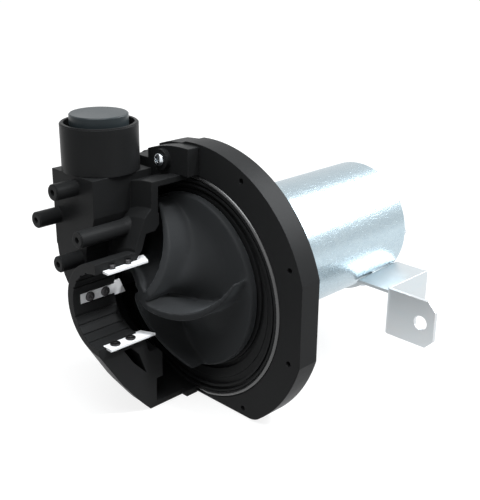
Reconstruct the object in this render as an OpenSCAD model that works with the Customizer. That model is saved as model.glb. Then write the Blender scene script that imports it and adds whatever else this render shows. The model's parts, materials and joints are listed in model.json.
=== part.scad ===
// Macerator toilet pump, shown with the right half of its front housing cut away.
// The shaft runs along Y. The origin is the centre of the inlet's mouth, with the motor
// towards +Y, the outlet towards +Z and the cut face on the plane X = 0.

/* [Inlet] */
// Distance from the mouth of the inlet to the joint face of the housing
inlet_reach = 64.5; // [60:0.5:70]
// Inner radius of the inlet tube
inlet_r = 20.8; // [19:0.2:22]
// Wall of the inlet tube
inlet_wall = 4.6; // [3.8:0.1:5.2]
// How far the inlet's bore lies below the middle of the tube
bore_drop = 0.8; // [0:0.1:1.5]
// Number of shallow grooves in each quarter of the inlet's bore
inlet_grooves = 6; // [3:1:8]
// Depth of the grooves in the bore
groove_depth = 0.7; // [0.3:0.1:1.2]

/* [Pump chamber] */
// Inner radius of the chamber round the impeller
chamber_r = 61.7; // [60:0.1:63]
// Wall round the chamber
chamber_wall = 3; // [2.4:0.1:4]
// Depth of the chamber in front of the joint face
chamber_depth = 22.7; // [20:0.1:25]
// Wall in front of the chamber
front_wall = 4.3; // [3.5:0.1:5]
// Extra depth of the chamber at its lowest point
chamber_ramp = 5; // [3:0.1:6]
// How far the chamber's centre lies to the right of the shaft
chamber_dx = 1.6; // [1:0.1:2]
// How far the chamber's centre lies above the shaft
chamber_dz = -4.3; // [-5:0.1:-3.5]
// Radius of the opening in front of the impeller
eye_r = 34; // [32:0.5:36]

/* [Flanges] */
// Thickness of the flange on the front housing
housing_flange_t = 8; // [6:0.5:10]
// Reach of the front housing's flange beyond the inside of the chamber
flange_ring = 17.3; // [16.5:0.1:18]
// Thickness of the back flange
back_flange_t = 13.2; // [12:0.2:16]
// Reach of the back flange beyond the front housing's flange
back_lip = 1.2; // [0.8:0.1:2]
// Depth of the flat on the right of the back flange
side_flat = 3.2; // [2:0.1:4.5]
// Depth of the flat at the upper left of the flanges
upper_flat = 3.2; // [2:0.1:4]
// Radius of the rounded corners beside the lower flat
flange_corner = 12; // [6:0.5:16]
// Distance from the inside of the chamber to the circle of housing screws
screw_ring = 11.9; // [11.4:0.1:12.4]
// Radius of the housing screws
screw_r = 2; // [1.5:0.1:2.5]
// Radius of the spare screw holes
spare_hole_r = 1.5; // [1:0.1:2]

/* [Outlet] */
// How far the outlet's axis lies to the right of the shaft
outlet_x = -35.5; // [-37:0.5:-34.5]
// How far the outlet's axis lies behind the joint face
outlet_y = -32; // [-33:0.5:-31]
// How far the top of the outlet block lies above the inside of the chamber
block_rise = 0.3; // [-1:0.1:2]
// Distance from the front of the outlet block to the joint face
block_reach = 51.3; // [50:0.1:53]
// Outer radius of the outlet spigot
spigot_r = 20.6; // [19.5:0.1:21.5]
// Wall of the outlet spigot
spigot_wall = 2.1; // [1.6:0.1:2.6]
// Length of the outlet spigot above its block
spigot_l = 25; // [20:0.5:32]
// How far the plug stands out of the spigot
plug_proud = 4.5; // [3:0.5:8]
// Radius of the upper part of the plug
plug_r = 15.5; // [13:0.1:16.4]

/* [Hose tails] */
// Outer radius of the hose tails
tail_r = 4.4; // [3.6:0.1:4.8]
// Radius of the bore of the hose tails
tail_bore_r = 1.7; // [1.2:0.1:2.2]
// How far the hose tails reach in front of the joint face
tail_reach = 65; // [62:0.5:68]

/* [Impeller] */
// Radius of the impeller's disc
impeller_r = 49; // [46:0.5:50]
// Thickness of the impeller's disc
disc_t = 4.6; // [4:0.1:5.2]
// Number of vanes
vane_count = 4; // [3:1:6]
// Thickness of a vane near the hub
vane_t = 5.2; // [4:0.1:6]
// Thickness of a vane at its tip
vane_tip_t = 1.6; // [1.2:0.1:3]
// Sweep of a vane in degrees for each millimetre of radius
vane_sweep = 1.3; // [1:0.05:1.5]
// Rise of the vane's front edge for each millimetre towards the shaft
vane_rise = 0.54; // [0.45:0.01:0.58]
// Gap between the vanes and the wall of the chamber at the eye
vane_gap = 2; // [1:0.1:3]

/* [Shear blades] */
// Width of a shear blade
blade_w = 8.2; // [7:0.1:9]
// Thickness of a shear blade
blade_t = 1.2; // [0.8:0.1:1.6]
// Length of a shear blade on its longer side
blade_l = 29.4; // [26:0.2:31]
// How much shorter a shear blade is on its other side
blade_slant = 3.6; // [1:0.1:5]

/* [Motor] */
// Outer radius of the motor's can
can_r = 38.5; // [37.5:0.5:40]
// Length of the motor's can
can_l = 133.8; // [130:0.2:150]
// Wall of the motor's can
can_wall = 2; // [1.6:0.1:2.4]
// Radius of the shaft
shaft_r = 4; // [3.5:0.1:4.5]
// Gap between the magnets and the armature
magnet_gap = 1.35; // [0.6:0.05:2]
// Length of the armature's core
armature_l = 60; // [50:1:62]
// Number of slots in the armature
armature_slots = 12; // [9:1:15]

/* [Bracket] */
// Height of the bracket's web and foot
bracket_h = 29.4; // [26:0.2:30]
// Thickness of the bracket's sheet
bracket_t = 2.2; // [1.5:0.1:2.8]
// Distance from the shaft to the web of the bracket
bracket_x = 54.8; // [50:0.2:60]
// Length of the shelf and the web along the motor
bracket_l = 41; // [35:0.5:48]
// Reach of the foot beyond the web
bracket_foot = 33; // [28:0.5:40]
// How far the front of the shelf dips below its back
bracket_dip = 2.6; // [0:0.2:4]
// Radius of the hole in the foot
bracket_hole_r = 4.4; // [3:0.1:5]

/* [Hidden] */
$fn = 96;

// Clearances
fit = 0.02;
run = 0.03;
slip = 0.05;
eps = 0.01;
far = 200;

// Colours
black_plastic = [0.12, 0.12, 0.13];
grey_plastic = [0.30, 0.33, 0.35];
black_rubber = [0.06, 0.06, 0.06];
blade_steel = [0.88, 0.89, 0.90];
zinc_steel = [0.72, 0.78, 0.82];
dark_steel = [0.18, 0.17, 0.18];
bright_steel = [0.80, 0.82, 0.83];

// Chamber and housing
chamber_out_r = chamber_r + chamber_wall;
housing_flange_r = chamber_r + flange_ring;
back_flange_r = housing_flange_r + back_lip;
screw_circle_r = chamber_r + screw_ring;
front_y = -(chamber_depth + front_wall);
eye_y = front_y - front_wall;
throat_y = eye_y - 6.7;
tube_r = inlet_r + inlet_wall;
chamber_floor_z = chamber_dz - chamber_out_r;
ramp_angle = atan(chamber_ramp / (2 * chamber_out_r));
flange_cx = 2.5;
flange_cz = -3.5;
upper_flat_angle = 111;
housing_flat_z = chamber_floor_z - 0.6;
back_flat_z = chamber_floor_z - 0.1;
back_flat_x = flange_cx + back_flange_r - side_flat;

// Screws that hold the housing, and the empty holes of its missing half
screw_cx = 2.5;
screw_cz = -1.6;
screw_l = 18;
notch_rise = 3.2;
flange_end_top = 6.4;
flange_end_low = 3.4;
housing_screw_angles = [102.3, 148, 185, 222];
spare_hole_angles = [62, 21.3, -19, -59.2];
boss_r = 5.6;
boss_t = 2.8;
screw_inset = 2.4;
top_screw_inset = 3.4;
screw_head_r = 1.7 * screw_r;
screw_head_t = 1.1 * screw_r;

// Outlet block and spigot
block_right = outlet_x + 18.3;
block_left = outlet_x - 17.1;
block_end = 13;
block_top = chamber_r + block_rise;
duct_wall = 3.4;
port_r = spigot_r - spigot_wall - 3.2;
spigot_foot = 3;
spigot_bore_r = spigot_r - spigot_wall;
plug_skirt = 11;

// Places of the hose tails as [x, z, start], with start measured from the joint face
tail_places = [
    [outlet_x + 2.9, block_top - 6.4, block_reach - eps],
    [block_left + 2.9, block_top - 25.2, block_reach - eps],
    [-13.4, 35.1, chamber_depth + 1],
    [outlet_x + 3.8, 16.9, block_reach - eps]
];
root_l = 13.5;

// Impeller
vane_r = impeller_r - 1.3;
vane_tip_a = 18;
disc_front = -3.6;
disc_back = disc_front + disc_t;
hub_front = -31;
hub_top_r = 8.8;
hub_foot_r = 29;
hub_shift = 9;
hub_shift_a = 90;
core_r = 3.4;
nose_y = -35.8;
recess_y = 2.2;

// Seal and shaft
seal_r = 13;
seal_seat_t = 5;
seal_ring_r = 9.5;
seal_ring_t = 5;
seal_cup_r = 11;
seal_cup_y = -6;
seat_y = recess_y + 2;
shaft_front = -14;
pin_y = -9.6;
pin_r = 1.5;
pin_l = 15;

// Motor, measured back from its front end
can_in_r = can_r - can_wall;
can_back = back_flange_t + can_l;
can_floor = 2.5;
plate_t = 5;
bearing_r = 11;
bearing_t = 7;
bearing_y = back_flange_t + 2.8;
core_y = back_flange_t + 26;
core_back = core_y + armature_l;
end_turn = 12;
commutator_r = 13;
commutator_l = 14;
commutator_y = core_back + end_turn + 4;
card_t = 2.5;
card_y = commutator_y + commutator_l + 1;
magnet_t = 5.6;
armature_r = can_in_r - slip - magnet_t - magnet_gap;
magnet_l = armature_l + 6;
bush_r = 8;
bush_l = 10;
hub_out_r = 14;
hub_out_l = 6;
bush_y = can_back + hub_out_l - 2 - bush_l;
shaft_back = bush_y + bush_l - 0.5;
bolt_r = 2.2;
bolt_x = can_in_r - bolt_r - 1;
spring_l = 7;
brush_l = can_in_r - commutator_r - spring_l - 5.5;
motor_screw_x = can_in_r - 10.5;
motor_screw_r = 2.5;

// Bracket
bracket_top = -20;
bracket_bend = 1.6;
bracket_corner = 5.4;
saddle_l = 24;
saddle_start = asin((1.7 - bracket_top) / can_r);
saddle_turn = 40;
bracket_screw_y = can_back - 12;
bracket_screw_angles = [saddle_start + 12, saddle_start + 30];

// Solids placed from the joint face
module at_joint() {
    translate([0, inlet_reach, 0]) children();
}

// An outline in X and Z, drawn out along Y
module along_y(y0, y1) {
    translate([0, y1, 0]) rotate([90, 0, 0]) linear_extrude(y1 - y0) children();
}

// An outline in radius and Y, turned round the shaft or a line beside it
module spin_y(cx = 0, cz = 0, turn = 360, start = 0) {
    translate([cx, 0, cz]) rotate([-90, 0, 0]) rotate([0, 0, start]) rotate_extrude(angle = turn) children();
}

// A round bar along Y
module rod_y(r, y0, y1, cx = 0, cz = 0) {
    translate([cx, y0, cz]) rotate([-90, 0, 0]) cylinder(h = y1 - y0, r = r);
}

// A ring along Y
module ring_y(r_out, r_in, y0, y1, cx = 0, cz = 0) {
    difference() {
        rod_y(r_out, y0, y1, cx, cz);
        rod_y(r_in, y0 - 1, y1 + 1, cx, cz);
    }
}

// A six-sided bolt head along Y
module hex_y(r, y0, y1, cx = 0, cz = 0) {
    translate([cx, y0, cz]) rotate([-90, 0, 0]) cylinder(h = y1 - y0, r = r, $fn = 6);
}

// Points on a smooth curve from p to r that leaves and arrives in line with q
function bend(p, q, r, n) = [
    for (i = [0:n]) let (t = i / n) (1 - t) * (1 - t) * p + 2 * t * (1 - t) * q + t * t * r
];

// Points on part of an ellipse
function sweep(cx, cy, rx, ry, a0, a1, n) = [
    for (i = [0:n]) let (a = a0 + (a1 - a0) * i / n) [cx + rx * cos(a), cy + ry * sin(a)]
];

// Front edge of the vanes at radius r
function vane_front(r) = -(chamber_depth - vane_gap) + vane_rise * (r - eye_r);

// Direction of a vane's leading side at radius r
function vane_angle(r) = vane_tip_a - vane_sweep * (vane_r - r);

// Thickness of a vane at radius r
function vane_thick(r) = vane_tip_t + (vane_t - vane_tip_t) * pow(max(0, min(1, (vane_r - r) / 20)), 0.7);

// The circle of housing screws, as places in X and Z
function on_circle(a) = [screw_cx + screw_circle_r * cos(a), screw_cz + screw_circle_r * sin(a)];
function screw_place(a) = let (r = screw_circle_r - (a < 110 ? top_screw_inset : screw_inset)) [
    screw_cx + r * cos(a), screw_cz + r * sin(a)
];

// Outline of a flange: level below, flat on the right and at the upper left,
// with rounded lower corners and a notch for a hose clip round the spigot
module flange_outline(r, flat_z, flat_x) {
    drop = flange_cz - flat_z - flange_corner;
    reach = r - flange_corner;
    side = sqrt(reach * reach - drop * drop);
    difference() {
        intersection() {
            translate([flange_cx, flange_cz]) circle(r);
            translate([-far, flat_z]) square([far + flat_x, far]);
            for (f = [[upper_flat_angle, upper_flat], [95.5, 0.9]]) translate([flange_cx, flange_cz])
                rotate(f[0]) translate([-far, -far]) square([far + back_flange_r - f[1], 2 * far]);
        }
        translate([-far - 25.5, block_top + notch_rise]) square(far);
        for (s = [-1, 1]) translate([flange_cx + s * side, flat_z + flange_corner]) polygon([
            [0, 0], [0, -2 * flange_corner], [s * side, -drop] * 2.5 * flange_corner / reach
        ]);
    }
    for (s = [-1, 1]) translate([flange_cx + s * side, flat_z + flange_corner]) circle(flange_corner);
}

module back_flange() {
    ridge_r = chamber_r - 3.3;
    color(black_plastic) at_joint() difference() {
        union() {
            along_y(0, back_flange_t) flange_outline(back_flange_r, back_flat_z, back_flat_x);
            rod_y(can_in_r - 6, back_flange_t - eps, back_flange_t + 1.5);
        }
        // Stepped rings round the impeller
        spin_y(chamber_dx, chamber_dz) polygon([
            [0, -1], [ridge_r + 1.4, -1], [ridge_r + 1.4, recess_y], [ridge_r, recess_y],
            [ridge_r, 0.6], [ridge_r - 1.5, 0.6], [ridge_r - 1.5, recess_y + 0.4],
            [ridge_r - 5, recess_y + 0.4], [ridge_r - 5, recess_y], [0, recess_y]
        ]);
        ring_y(impeller_r + 3.6, impeller_r + 1.2, 0, recess_y + 2);
        // Groove of the seal ring
        ring_y(chamber_r + 2.3, chamber_r - 0.7, -1, 2.6, chamber_dx, chamber_dz);
        // Seat of the shaft seal and the shaft's way through
        rod_y(seal_r, 0, seat_y + seal_seat_t);
        rod_y(shaft_r + 1.4, 0, far);
        for (a = housing_screw_angles) {
            p = screw_place(a);
            rod_y(screw_r + slip, -1, screw_l - housing_flange_t - boss_t + 1, p[0], p[1]);
        }
        for (a = spare_hole_angles) {
            p = on_circle(a);
            rod_y(spare_hole_r, -1, screw_l - housing_flange_t - boss_t + 1, p[0], p[1]);
        }
        for (s = [-1, 1]) {
            rod_y(motor_screw_r + slip, 0, far, s * motor_screw_x, 0);
            rod_y(2 * motor_screw_r + 0.1, 0, recess_y + 4, s * motor_screw_x, 0);
        }
        rod_y(shaft_r + 12.5, back_flange_t - 1, far);
    }
}

// Front view of the outlet block, drawn in by some margin
module block_outline(m) {
    left = block_left + m;
    right = block_right - m;
    polygon(concat(
        [[left, block_top - 2 * m], [left, 20]],
        bend([left + 0.6, 20], [left + 2, 5], [left + 10, -3 + m], 6),
        [[left + 14, -10 + 2 * m], [-26 - m, -10 + 2 * m]],
        bend([-26 - m, 17], [-26 - m, 27], [right - 1.5, 36], 6),
        [[right, 42], [right, block_top - 2 * m]]
    ));
}

// Solid ground that leads from the inlet down to the chamber, under the tube
module sump() {
    rings = [
        [inlet_reach, tube_r, 0, 0.4], [57.4, 36.4, 24, 0.4], [50.6, 46.9, 22, 0.4],
        [39.9, 60.5, 20, 0.4], [-front_y + 3.9, -chamber_floor_z, 18, 5.3]
    ];
    hull() for (i = [0:len(rings) - 1]) {
        low = rings[i][1];
        high = i == 0 ? tube_r : rings[i][2];
        rod_y((low + high) / 2, -rings[i][0], -rings[i][0] + rings[i][3], 0, (high - low) / 2, $fn = 48);
    }
}

module housing_solid() {
    along_y(-housing_flange_t, 0) flange_outline(housing_flange_r, housing_flat_z, back_flat_x);
    difference() {
        rod_y(chamber_out_r, front_y - chamber_ramp, -eps, chamber_dx, chamber_dz);
        // The chamber's front leans forward towards its lowest point
        translate([0, front_y, chamber_dz + chamber_out_r]) rotate([-ramp_angle, 0, 0])
            translate([-far / 2, -far, -far]) cube([far, far, 2 * far]);
    }
    // Cone from the inlet to the chamber
    spin_y() polygon([
        [0, throat_y - 1], [tube_r, throat_y - 1], [tube_r + 1.6, throat_y - 1], [eye_r + 8, eye_y - 1],
        [eye_r + 13, front_y], [eye_r + 13, front_y + 2], [0, front_y + 2]
    ]);
    rod_y(tube_r, -inlet_reach, eye_y);
    intersection() {
        sump();
        translate([chamber_dx, 0, chamber_dz]) rod_y(chamber_out_r + 1, -far, 0);
    }
    along_y(-block_reach, -block_end) block_outline(0);
    // Neck that the spigot is seated on
    translate([outlet_x, outlet_y, block_top - eps]) cylinder(h = spigot_foot, r = spigot_bore_r - slip);
    for (t = tail_places) {
        rod_y(tail_r, -tail_reach + 0.6, -t[2], t[0], t[1]);
        rod_y(tail_r - 0.5, -tail_reach, -t[2], t[0], t[1]);
    }
    translate([tail_places[2][0], -tail_places[2][2], tail_places[2][1]]) rotate([90, 0, 0])
        cylinder(h = root_l, r1 = tail_r + 2, r2 = tail_r - slip);
    // Bosses of the housing screws
    for (a = housing_screw_angles) {
        p = screw_place(a);
        rod_y(boss_r, -housing_flange_t - boss_t, -housing_flange_t + eps, p[0], p[1]);
    }
}

module housing_hollow() {
    rod_y(inlet_r, -far, throat_y + 1, 0, -bore_drop);
    // Eye in front of the impeller
    spin_y() polygon([
        [0, throat_y], [inlet_r + bore_drop + 0.2, throat_y], [inlet_r + 5, throat_y + 3.4],
        [eye_r - 0.2, eye_y - 0.3], [eye_r, -chamber_depth - 2.8],
        [eye_r + 4, -chamber_depth + 1], [eye_r + 4, 1], [0, 1]
    ]);
    rod_y(chamber_r, -chamber_depth, 1, chamber_dx, chamber_dz);
    // Channel that deepens towards the lowest point of the chamber
    difference() {
        ring_y(chamber_r, chamber_r - 14.3, -chamber_depth - 2 * chamber_ramp, 1, chamber_dx, chamber_dz);
        translate([0, -chamber_depth, chamber_dz + chamber_out_r]) rotate([-ramp_angle, 0, 0])
            translate([-far / 2, -far, -far]) cube([far, far, 2 * far]);
    }
    // Duct from the chamber to the outlet
    intersection() {
        along_y(-block_reach + duct_wall, -chamber_depth + 4) block_outline(duct_wall);
        translate([-far, -far, -6]) cube([2 * far, 2 * far, block_top - 2 + 6]);
    }
    translate([outlet_x, outlet_y, block_top - 12]) cylinder(h = far, r = port_r);
    for (t = tail_places) rod_y(tail_bore_r, -far, -t[2] + duct_wall - 0.4, t[0], t[1]);
    // Pocket cored out under the inlet
    spin_y(start = 84, turn = 52) polygon([
        [tube_r + 1.7, -49], [36.5, -42.7], [45.8, -34], [32.7, -38.8], [tube_r + 1.7, -43.8]
    ]);
    // Shallow grooves along the inlet's bore
    for (i = [0:4 * inlet_grooves - 1]) {
        a = (i + 0.5) * 90 / inlet_grooves;
        if (abs(((a + 45) % 90) - 45) > 14)
            translate([0, 0, -bore_drop]) rotate([0, a, 0]) translate([inlet_r - 1, -far, -0.6]) cube([1 + groove_depth, far + throat_y - 1, 1.2]);
    }
    for (a = housing_screw_angles) {
        p = screw_place(a);
        rod_y(screw_r + 0.3, -far, 1, p[0], p[1]);
    }
    for (a = blade_angles) at_blade(a) blade_seat();
}

// The cut face runs on the plane X = 0, a little further out across the flange
module cut_away() {
    difference() {
        translate([0, -far, -far]) cube([far, 2 * far, 2 * far]);
        difference() {
            translate([-far, -housing_flange_t, 0]) cube([far + flange_end_top, far, far]);
            rod_y(chamber_out_r + 0.3, -far, far, chamber_dx, chamber_dz);
        }
        translate([-far, -housing_flange_t, -far]) cube([far + flange_end_low, far, far]);
    }
}

module front_housing() {
    color(black_plastic) at_joint() difference() {
        housing_solid();
        housing_hollow();
        cut_away();
    }
}

module discharge_spigot() {
    color(black_plastic) translate([outlet_x, inlet_reach + outlet_y, block_top]) difference() {
        union() {
            cylinder(h = spigot_l - 0.6, r = spigot_r);
            cylinder(h = spigot_l, r = spigot_r - 0.6);
        }
        translate([0, 0, -1]) cylinder(h = spigot_l + 2, r = spigot_bore_r);
    }
}

module outlet_plug() {
    base = spigot_foot + slip;
    top = spigot_l + plug_proud;
    color(grey_plastic) translate([outlet_x, inlet_reach + outlet_y, block_top])
        rotate_extrude() polygon([
            [plug_r - 3, base], [spigot_bore_r - slip, base], [spigot_bore_r - slip, base + plug_skirt],
            [plug_r, base + plug_skirt + 1.5], [plug_r, top - 0.5], [plug_r - 0.5, top], [0, top],
            [0, top - 3], [plug_r - 3, top - 3]
        ]);
}

blade_y = -inlet_reach + 4.6;
blade_in = inlet_r - 0.13;
blade_out = blade_in + blade_t;
blade_angles = [0, -90, 180];
blade_screw_r = 1.85;
blade_head_r = 2.7;
blade_head_t = 0.9;
blade_grip = 2.4;
function blade_screw_places() = [blade_y + 5.8, blade_y + 15.8];

// What lies along the top of the bore, turned to the place of a blade
module at_blade(a) {
    translate([0, 0, -bore_drop]) rotate([0, a, 0]) children();
}

// A blade lying along the top of the bore, with its end cut on the slant
module blade_form(grow) {
    w = blade_w / 2 + grow;
    translate([0, 0, blade_in - grow]) linear_extrude(blade_t + 2 * grow) polygon([
        [-w, blade_y - grow], [w, blade_y - grow],
        [w, blade_y + blade_l - blade_slant + grow], [-w, blade_y + blade_l + grow]
    ]);
}

// Slot for a blade and ways for its screws
module blade_seat() {
    blade_form(slip);
    for (y = blade_screw_places()) translate([0, y, 0]) {
        cylinder(h = blade_out + blade_grip + slip, r = blade_screw_r + fit);
        cylinder(h = blade_in, r = blade_head_r + 0.3);
    }
}

module blade(a) {
    color(blade_steel) at_joint() at_blade(a) difference() {
        blade_form(0);
        for (y = blade_screw_places()) translate([0, y, 0]) cylinder(h = far, r = blade_screw_r + fit);
    }
}

module shear_blade_top() { blade(0); }
module shear_blade_side() { blade(-90); }
module shear_blade_bottom() { blade(180); }

module blade_screws() {
    color(dark_steel) at_joint() for (a = blade_angles, y = blade_screw_places())
        at_blade(a) translate([0, y, blade_in - blade_head_t]) {
            cylinder(h = blade_head_t, r = blade_head_r);
            cylinder(h = blade_head_t + blade_t + blade_grip, r = blade_screw_r);
        }
}

module housing_screws() {
    y0 = -housing_flange_t - boss_t;
    color(zinc_steel) at_joint() for (a = housing_screw_angles) {
        p = screw_place(a);
        difference() {
            union() {
                rod_y(screw_head_r, y0 - screw_head_t, y0, p[0], p[1]);
                rod_y(screw_r, y0 - eps, y0 + screw_l, p[0], p[1]);
            }
            translate([p[0], y0 - screw_head_t, p[1]]) for (s = [0, 90]) rotate([0, s, 0])
                cube([1.5 * screw_head_r, 1.6, 0.9], center = true);
        }
    }
}

module housing_seal() {
    color(black_rubber) at_joint() spin_y(chamber_dx, chamber_dz)
        translate([chamber_r + 0.8, 1.28]) circle(1.26, $fn = 24);
}

// One vane, seen from the front
module vane_outline() {
    rs = [for (i = [0:22]) core_r - 0.2 + (vane_r - core_r + 0.2) * i / 22];
    polygon(concat(
        [for (r = rs) r * [cos(vane_angle(r)), sin(vane_angle(r))]],
        [for (i = [22:-1:0]) let (r = rs[i], a = vane_angle(r) - vane_thick(r) / r * 180 / PI) r * [cos(a), sin(a)]]
    ));
}

// Plan of one passage, from the middle of a vane to the middle of the next
module passage_outline() {
    rs = [for (i = [0:22]) core_r - 0.2 + (vane_r - core_r + 0.2) * i / 22];
    mids = [for (r = rs) vane_angle(r) - vane_thick(r) / r * 90 / PI];
    turn = 360 / vane_count;
    polygon(concat(
        [[0, 0]],
        [for (i = [0:22]) rs[i] * [cos(mids[i]), sin(mids[i])]],
        [for (i = [1:11]) vane_r * [cos(mids[22] + turn * i / 12), sin(mids[22] + turn * i / 12)]],
        [for (i = [22:-1:0]) rs[i] * [cos(mids[i] + turn), sin(mids[i] + turn)]]
    ));
}

// Floor of one passage: a flared hub set to one side, so that it is steep behind one vane
// and falls away in front of the next
module hub_lobe(a) {
    intersection() {
        along_y(-far, disc_front + 1) rotate(a) passage_outline();
        spin_y(hub_shift * cos(hub_shift_a + a), hub_shift * sin(hub_shift_a + a)) polygon(concat(
            [[0, disc_front + 2], [0, hub_front]],
            bend([hub_top_r, hub_front], [hub_top_r + 1.2, -9], [hub_foot_r, disc_front], 12),
            [[hub_foot_r, disc_front + 2]]
        ));
    }
}

module impeller() {
    color(black_plastic) at_joint() difference() {
        union() {
            spin_y() polygon([
                [0, disc_back], [0, disc_front], [impeller_r - 0.6, disc_front],
                [impeller_r, disc_front + 0.6], [impeller_r, disc_back]
            ]);
            for (i = [0:vane_count - 1]) hub_lobe(i * 360 / vane_count);
            intersection() {
                along_y(-far, disc_front + 1) {
                    circle(core_r);
                    for (i = [0:vane_count - 1]) rotate(i * 360 / vane_count) vane_outline();
                }
                spin_y() polygon([
                    [0, nose_y], [6, vane_front(6)], [vane_r + 1, vane_front(vane_r + 1)],
                    [vane_r + 1, disc_front + 1], [0, disc_front + 1]
                ]);
            }
        }
        rod_y(shaft_r + fit, shaft_front, far);
        rod_y(seal_cup_r, seal_cup_y, far);
        // Slot that slides over the drive pin
        translate([0, pin_y, 0]) rotate([0, 90, 0]) cylinder(h = pin_l, r = pin_r + fit, center = true);
        translate([-pin_l / 2, pin_y, -pin_r - fit]) cube([pin_l, far, 2 * (pin_r + fit)]);
    }
}

module impeller_pin() {
    color(zinc_steel) at_joint() translate([0, pin_y, 0]) rotate([0, 90, 0])
        cylinder(h = pin_l - 0.2, r = pin_r, center = true);
}

module seal_spring() {
    color(zinc_steel) at_joint() ring_y(seal_ring_r - 1, seal_ring_r - 2.4, seal_cup_y, seat_y - run - seal_ring_t);
}

module seal_ring() {
    color(dark_steel) at_joint() ring_y(seal_ring_r, shaft_r + fit, seat_y - run - seal_ring_t, seat_y - run);
}

module seal_seat() {
    color([0.86, 0.84, 0.78]) at_joint() ring_y(seal_r - slip, shaft_r + 1, seat_y, seat_y + seal_seat_t);
}

module shaft() {
    step_y = bearing_y + bearing_t + 1;
    step_back = commutator_y + commutator_l;
    color(zinc_steel) at_joint() difference() {
        spin_y() polygon([
            [0, shaft_front + fit], [shaft_r - 0.5, shaft_front + fit], [shaft_r, shaft_front + 0.6],
            [shaft_r, step_y], [shaft_r + 1, step_y], [shaft_r + 1, step_back], [shaft_r, step_back],
            [shaft_r, shaft_back - 0.5], [shaft_r - 0.5, shaft_back], [0, shaft_back]
        ]);
        translate([-far / 2, pin_y, 0]) rotate([0, 90, 0]) cylinder(h = far, r = pin_r + fit);
    }
}

module front_bearing() {
    mid = (shaft_r + bearing_r) / 2;
    y1 = bearing_y + bearing_t;
    color(zinc_steel) at_joint() difference() {
        spin_y() polygon([
            [shaft_r + run, bearing_y], [mid - 1.6, bearing_y], [mid - 1.6, bearing_y + 0.6],
            [mid + 1.6, bearing_y + 0.6], [mid + 1.6, bearing_y], [bearing_r - fit, bearing_y],
            [bearing_r - fit, y1], [mid + 1.6, y1], [mid + 1.6, y1 - 0.6], [mid - 1.6, y1 - 0.6],
            [mid - 1.6, y1], [shaft_r + run, y1]
        ]);
    }
}

module motor_end_plate() {
    color([0.62, 0.63, 0.64]) at_joint() difference() {
        union() {
            ring_y(can_in_r - slip, can_in_r - 5.5, back_flange_t, back_flange_t + plate_t);
            rod_y(can_in_r - slip - 1, back_flange_t + 1.6, back_flange_t + plate_t);
            rod_y(bearing_r + 4, back_flange_t + 1.6, bearing_y + bearing_t);
        }
        rod_y(bearing_r, bearing_y, far);
        rod_y(shaft_r + 2, 0, far);
        for (s = [-1, 1]) {
            rod_y(motor_screw_r, 0, far, s * motor_screw_x, 0);
            rod_y(bolt_r, 0, far, s * bolt_x, 0);
        }
    }
}

module motor_screws() {
    color(zinc_steel) at_joint() for (s = [-1, 1]) {
        difference() {
            rod_y(2 * motor_screw_r, recess_y + 0.6, recess_y + 4, s * motor_screw_x, 0);
            hex_y(1.5, 0, recess_y + 2.4, s * motor_screw_x, 0);
        }
        rod_y(motor_screw_r - fit, recess_y + 4 - eps, back_flange_t + plate_t, s * motor_screw_x, 0);
    }
}

module motor_can() {
    color(zinc_steel) at_joint() difference() {
        union() {
            spin_y() polygon(concat(
                [[0, back_flange_t], [can_r, back_flange_t]],
                sweep(can_r - 1.5, can_back - 1.5, 1.5, 1.5, 0, 90, 5),
                [[hub_out_r, can_back]],
                sweep(hub_out_r - 1, can_back + hub_out_l - 1, 1, 1, 0, 90, 4),
                [[0, can_back + hub_out_l]]
            ));
        }
        rod_y(can_in_r, 0, can_back - can_floor);
        rod_y(bush_r + fit, 0, bush_y + bush_l);
        rod_y(grommet_r, can_back - 10, can_back + 1, 0, grommet_z);
        for (s = [-1, 1]) rod_y(bolt_r + slip, 0, far, s * bolt_x, 0);
        for (a = bracket_screw_angles) bracket_screw_line(a) cylinder(h = far, r = screw_r + slip);
    }
}

module magnet(a) {
    color([0.20, 0.20, 0.22]) at_joint() spin_y(turn = 110, start = a - 55)
        translate([can_in_r - slip - magnet_t, core_y - 3]) square([magnet_t, magnet_l]);
}
module magnet_upper() { magnet(-90); }
module magnet_lower() { magnet(90); }

slot_w = 4.4;
slot_r = 19;
module slots(w, r0, r1, y0, y1) {
    for (i = [0:armature_slots - 1]) rotate([0, i * 360 / armature_slots, 0])
        translate([r0, y0, -w / 2]) cube([r1 - r0, y1 - y0, w]);
}

module armature_core() {
    color([0.36, 0.37, 0.39]) at_joint() difference() {
        rod_y(armature_r, core_y, core_back);
        rod_y(shaft_r + 1 + fit, 0, far);
        slots(slot_w, slot_r, armature_r - 1.4, 0, far);
        slots(1.8, slot_r, armature_r + 1, 0, far);
    }
}

module armature_winding() {
    r_in = shaft_r + 4;
    r_out = armature_r - 1.8;
    color([0.62, 0.30, 0.14]) at_joint() {
        slots(slot_w - 0.3, slot_r + 0.2, armature_r - 1.6, core_y - 1, core_back + 1);
        for (y = [core_y - end_turn + 2, core_back + 0.15]) spin_y() polygon([
            [r_in, y], [r_out - 3, y], [r_out, y + 3], [r_out, y + end_turn - 5.15],
            [r_out - 2, y + end_turn - 2.15], [r_in, y + end_turn - 2.15]
        ]);
    }
}

module commutator() {
    color([0.70, 0.42, 0.22]) at_joint() difference() {
        rod_y(commutator_r, commutator_y, commutator_y + commutator_l);
        rod_y(shaft_r + 1 + fit, 0, far);
        slots(0.7, commutator_r - 1.4, commutator_r + 1, 0, far);
    }
}

// Square way of a brush, drawn out along Z
module brush_way(grow, z0, z1) {
    y = commutator_y + commutator_l / 2;
    translate([-3.2 - grow, y - 4.5 - grow, z0]) cube([6.4 + 2 * grow, 9 + 2 * grow, z1 - z0]);
}

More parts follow.
